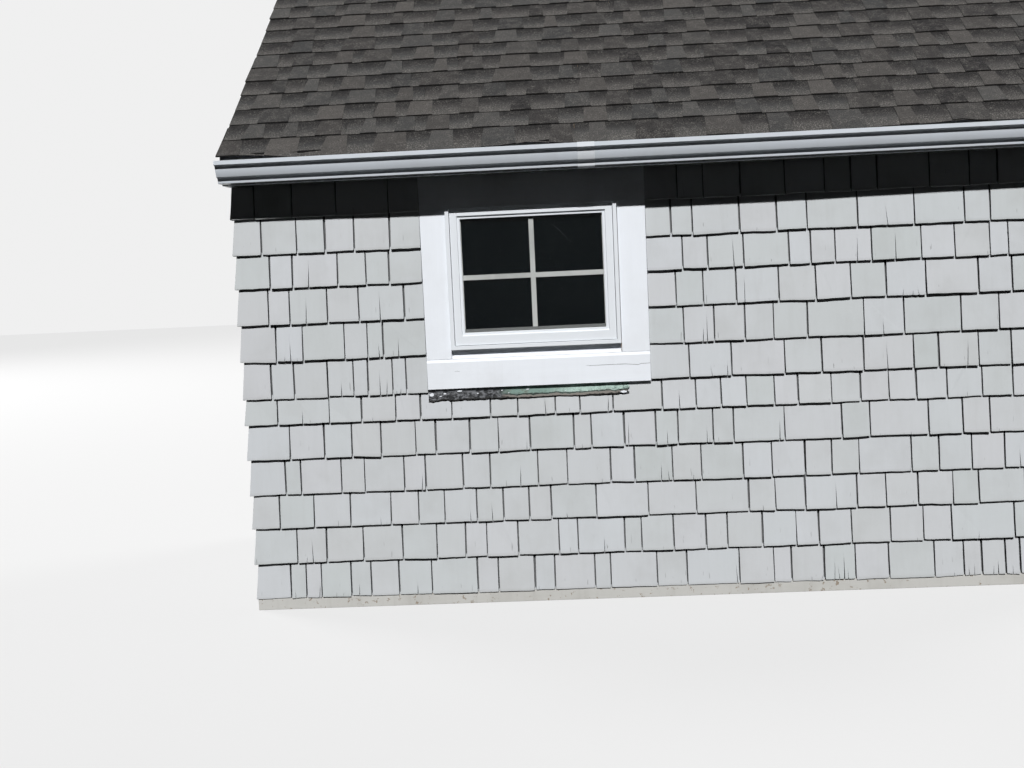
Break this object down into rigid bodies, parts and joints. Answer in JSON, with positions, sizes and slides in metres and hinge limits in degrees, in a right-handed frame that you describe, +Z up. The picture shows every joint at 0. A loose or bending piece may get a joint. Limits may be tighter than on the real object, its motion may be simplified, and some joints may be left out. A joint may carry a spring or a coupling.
{
  "type": "shed dormer with window",
  "caption": "Shingled shed dormer with a small white four-light window, flat white casing, K-style gutter and coursed asphalt roof, open at the back.",
  "frame": {"origin": "middle of the footprint of the whole part, at the foot of the walls", "axes": "+Z up, +X to the right along the front wall, the window faces -Y"},
  "size_m": [3.394, 1.8956, 2.9858],
  "materials": {
    "plywood": "bare plywood",
    "framing_lumber": "sawn softwood",
    "asphalt_shingle": "mineral granules on asphalt",
    "gutter_enamel": "white baked enamel",
    "bare_aluminium": "mill finish",
    "wall_shingle": "light grey paint, weathered",
    "peeling_paint": "white paint, peeling",
    "trim_paint": "white paint",
    "window_vinyl": "white vinyl",
    "window_glass": "clear, dark behind",
    "bar_enamel": "pale grey enamel",
    "gap_packing": "grey packing",
    "copper_patina": "green patina on copper"
  },
  "bodies": {
    "root": {"front_sheathing": "plywood", "left_sheathing": "plywood", "right_sheathing": "plywood", "front_plates": "framing_lumber", "front_studs": "framing_lumber", "window_header": "framing_lumber", "rough_sill": "framing_lumber", "left_plates": "framing_lumber", "left_studs": "framing_lumber", "right_plates": "framing_lumber", "right_studs": "framing_lumber", "rafters": "framing_lumber", "ridge_board": "framing_lumber", "roof_deck": "plywood", "roof_shingles": "asphalt_shingle", "drip_edge": "gutter_enamel", "fascia": "trim_paint", "soffit": "trim_paint", "left_rake_board": "trim_paint", "right_rake_board": "trim_paint", "gutter_trough": "gutter_enamel", "gutter_left_end": "gutter_enamel", "gutter_right_end": "gutter_enamel", "gutter_sleeve": "gutter_enamel", "gutter_hangers": "bare_aluminium", "shingles_left_of_window": "wall_shingle", "shingles_right_of_window": "wall_shingle", "shingles_below_window": "wall_shingle", "left_side_shingles": "wall_shingle", "right_side_shingles": "wall_shingle", "base_board": "peeling_paint", "left_base_board": "peeling_paint", "right_base_board": "peeling_paint", "casing_left": "trim_paint", "casing_right": "trim_paint", "head_board": "trim_paint", "window_sill": "trim_paint", "apron_board": "trim_paint", "gap_strip": "gap_packing", "window_frame": "window_vinyl", "sash": "window_vinyl", "outer_pane": "window_glass", "inner_pane": "window_glass", "window_bars": "bar_enamel", "copper_apron": "copper_patina"}
  },
  "joints": []
}
